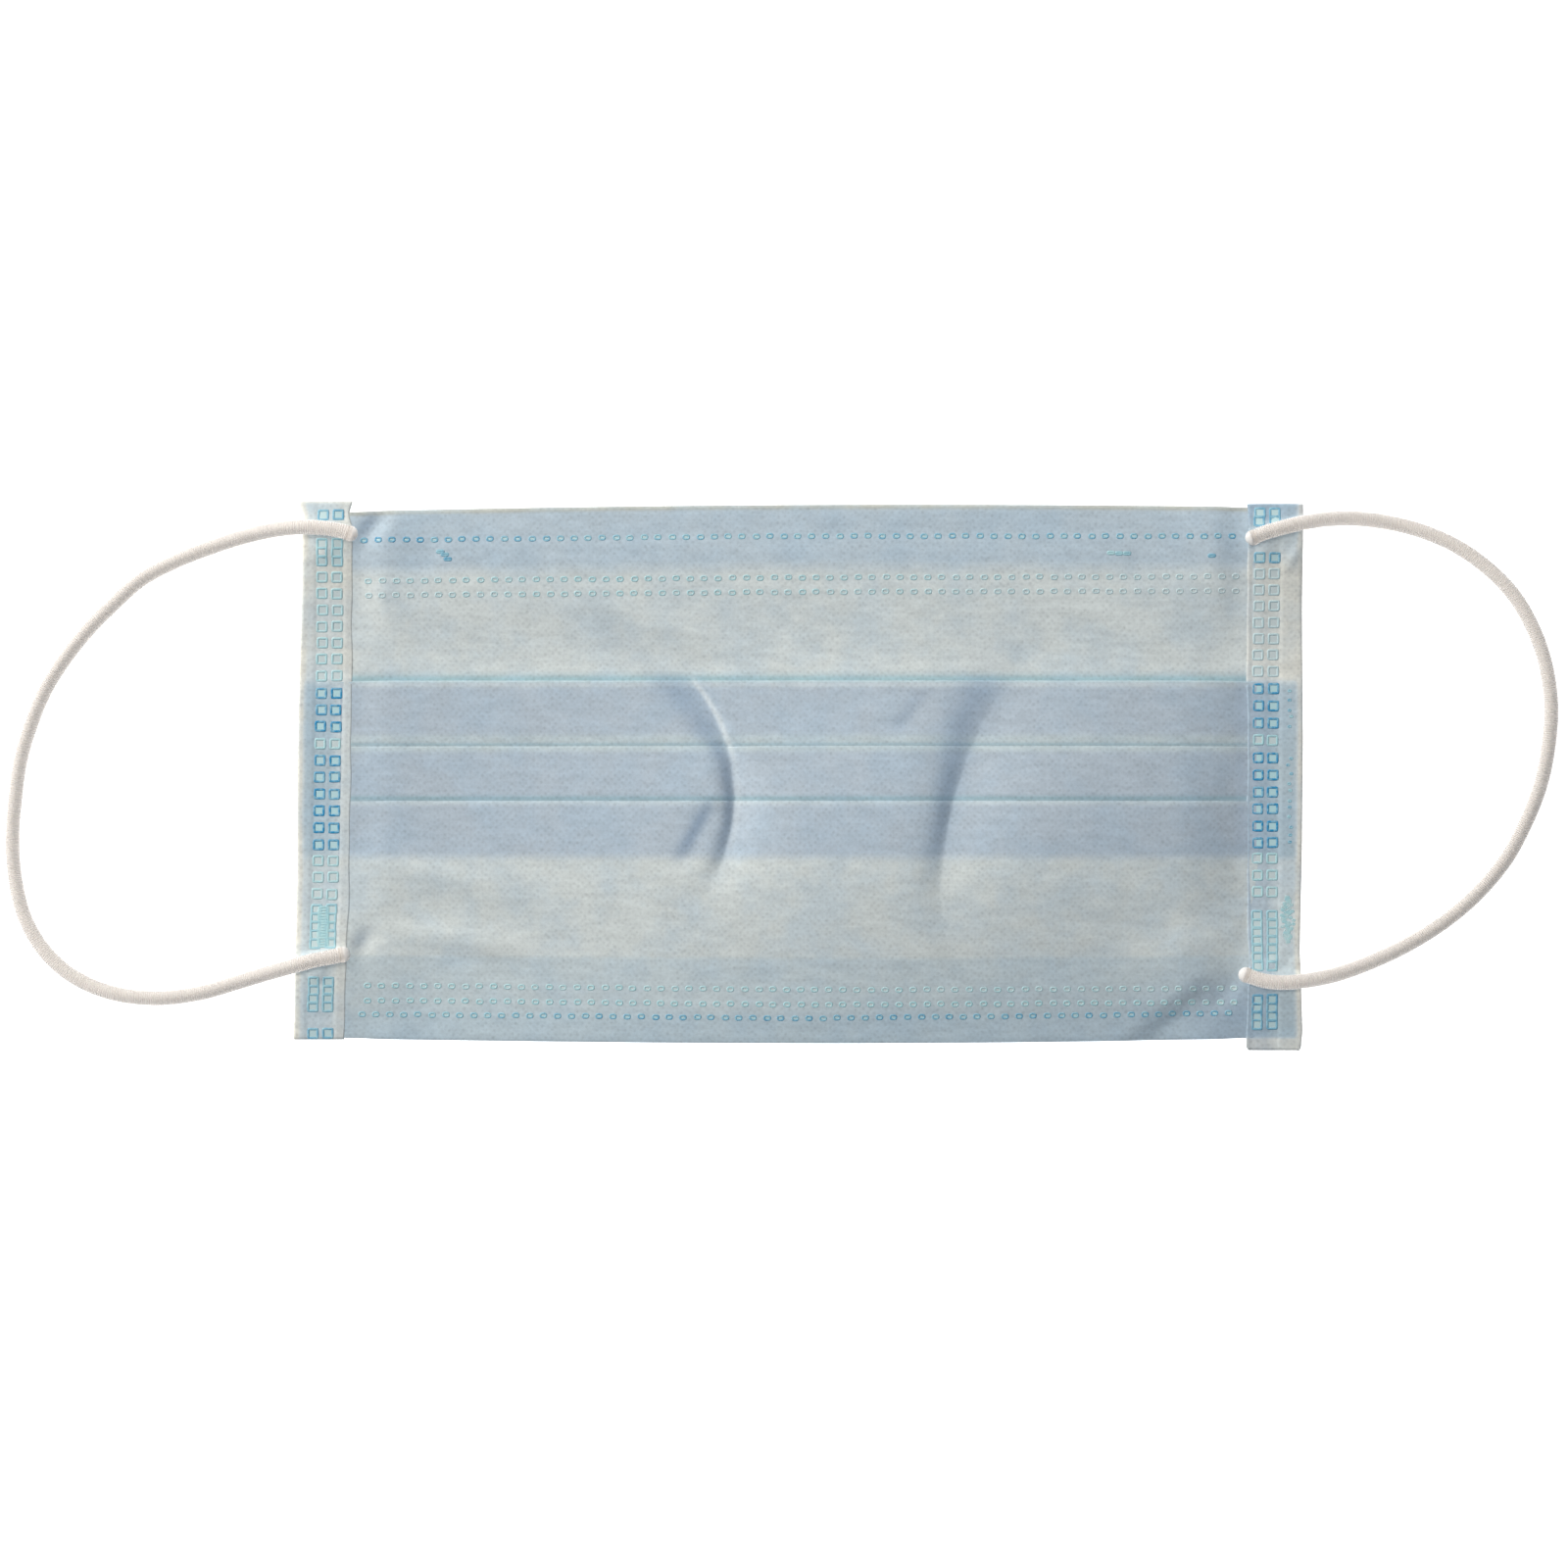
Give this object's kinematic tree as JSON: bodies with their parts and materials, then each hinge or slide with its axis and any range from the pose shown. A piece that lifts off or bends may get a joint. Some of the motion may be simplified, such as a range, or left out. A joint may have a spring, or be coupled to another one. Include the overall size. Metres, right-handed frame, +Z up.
{
  "type": "surgical face mask",
  "caption": "Flat pleated three-ply face mask with turned hems, a nose wire, bound side seams and two elastic ear loops, lying flat.",
  "frame": {"origin": "on the surface that the mask lies on, under the middle of the panel and its bindings", "axes": "+X along the mask towards the binding whose tail hangs past the chin edge, +Y towards the nose-wire edge, +Z up, out of the wearer's side"},
  "size_m": [0.2703, 0.0956, 0.0087],
  "materials": {
    "spunbond_panel": "pale white spunbond nonwoven with a light blue ply showing through",
    "spunbond_binding": "white spunbond nonwoven tape, bluish where it lies on the blue ply",
    "elastic_cord": "off-white round knitted elastic",
    "nose_wire": "white polyethylene over a soft steel core"
  },
  "bodies": {
    "root": {"mask_panel": "spunbond_panel", "nose_wire": "nose_wire", "left_binding": "spunbond_binding", "right_binding": "spunbond_binding", "left_ear_loop": "elastic_cord", "right_ear_loop": "elastic_cord"}
  },
  "joints": []
}
